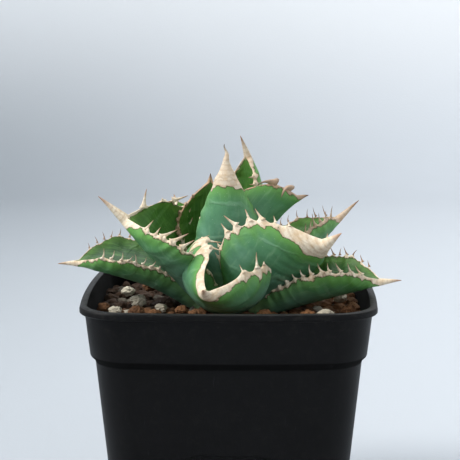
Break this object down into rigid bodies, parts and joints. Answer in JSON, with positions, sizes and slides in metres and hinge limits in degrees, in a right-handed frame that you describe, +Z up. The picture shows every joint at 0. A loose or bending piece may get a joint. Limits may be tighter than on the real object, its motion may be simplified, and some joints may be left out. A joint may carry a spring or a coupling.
{
  "type": "potted agave",
  "caption": "Spiny agave rosette with thick channelled leaves, rooted in grit in a square plastic nursery pot.",
  "frame": {"origin": "middle of the pot's flat underside", "axes": "+Z up; -Y is the pot's front, the side the plant is seen from; +X to the right seen from the front"},
  "size_m": [0.1058, 0.0928, 0.127],
  "materials": {
    "pot_plastic": "satin black polypropylene, faint scuffs",
    "leaf": "waxy blue-green leaf with cream horn margin",
    "stem": "pale fibrous stem",
    "baked_clay": "dull porous orange-brown",
    "pumice": "dull porous cream",
    "grit": "dull porous grit bed"
  },
  "bodies": {
    "root": {"pot": "pot_plastic", "stem": "stem", "leaf_heart": "leaf", "leaf_centre": "leaf", "leaf_inner_right": "leaf", "leaf_inner_left": "leaf", "leaf_back": "leaf", "leaf_front": "leaf", "leaf_right_front": "leaf", "leaf_left": "leaf", "leaf_left_back": "leaf", "leaf_right_back": "leaf", "leaf_low_left": "leaf", "leaf_low_right": "leaf", "leaf_low_back_right": "leaf", "leaf_low_back_left": "leaf", "pumice_grain_01": "pumice", "pumice_grain_02": "pumice", "pumice_grain_03": "pumice", "pumice_grain_04": "pumice", "clay_grain_01": "baked_clay", "clay_grain_02": "baked_clay", "clay_grain_03": "baked_clay", "clay_grain_04": "baked_clay", "clay_grain_05": "baked_clay", "clay_grain_06": "baked_clay", "clay_grain_07": "baked_clay", "clay_grain_08": "baked_clay", "clay_grain_09": "baked_clay", "clay_grain_10": "baked_clay", "pumice_grain_05": "pumice", "clay_grain_11": "baked_clay", "pumice_grain_06": "pumice", "clay_grain_12": "baked_clay", "clay_grain_13": "baked_clay", "pumice_grain_07": "pumice", "clay_grain_14": "baked_clay", "grit_bed": "grit"}
  },
  "joints": []
}
